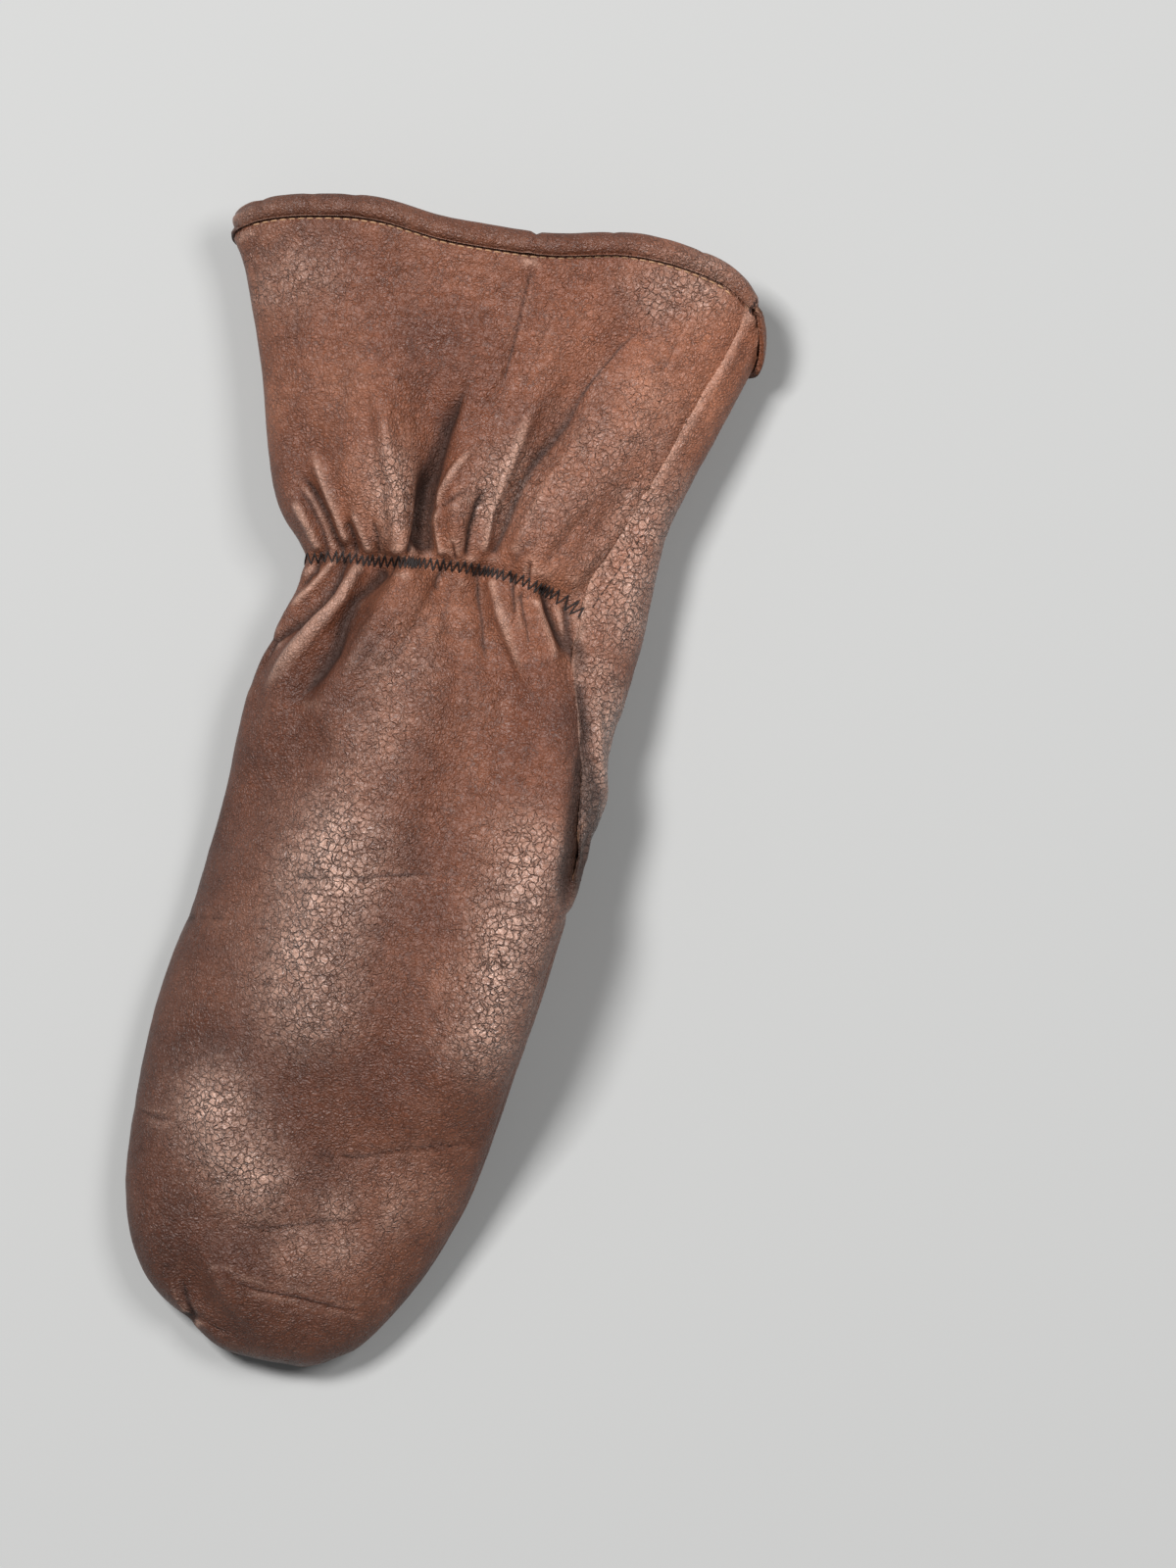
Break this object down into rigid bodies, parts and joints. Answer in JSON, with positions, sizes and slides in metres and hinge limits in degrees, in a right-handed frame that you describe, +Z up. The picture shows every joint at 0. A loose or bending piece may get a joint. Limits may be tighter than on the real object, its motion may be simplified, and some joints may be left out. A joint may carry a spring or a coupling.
{
  "type": "leather mitten",
  "caption": "Right-hand leather mitten with a gathered wrist and a flared, hemmed cuff, lying back of hand up with its thumb tucked under.",
  "frame": {"origin": "middle of the box round the mitten, on the floor it lies on", "axes": "+X to the thumb side, +Y from the fingertips to the cuff, +Z up out of the back of the hand"},
  "size_m": [0.1584, 0.337, 0.0521],
  "materials": {
    "back_leather": "semi-gloss, grained",
    "palm_leather": "semi-gloss, grained",
    "thumb_leather": "semi-gloss, grained",
    "hem_leather": "semi-gloss, grained",
    "hem_palm_leather": "semi-gloss, grained"
  },
  "bodies": {
    "root": {"back_panel": "back_leather", "palm_panel": "palm_leather", "thumb_panel": "thumb_leather", "cuff_hem_back": "hem_leather", "cuff_hem_palm": "hem_palm_leather"}
  },
  "joints": []
}
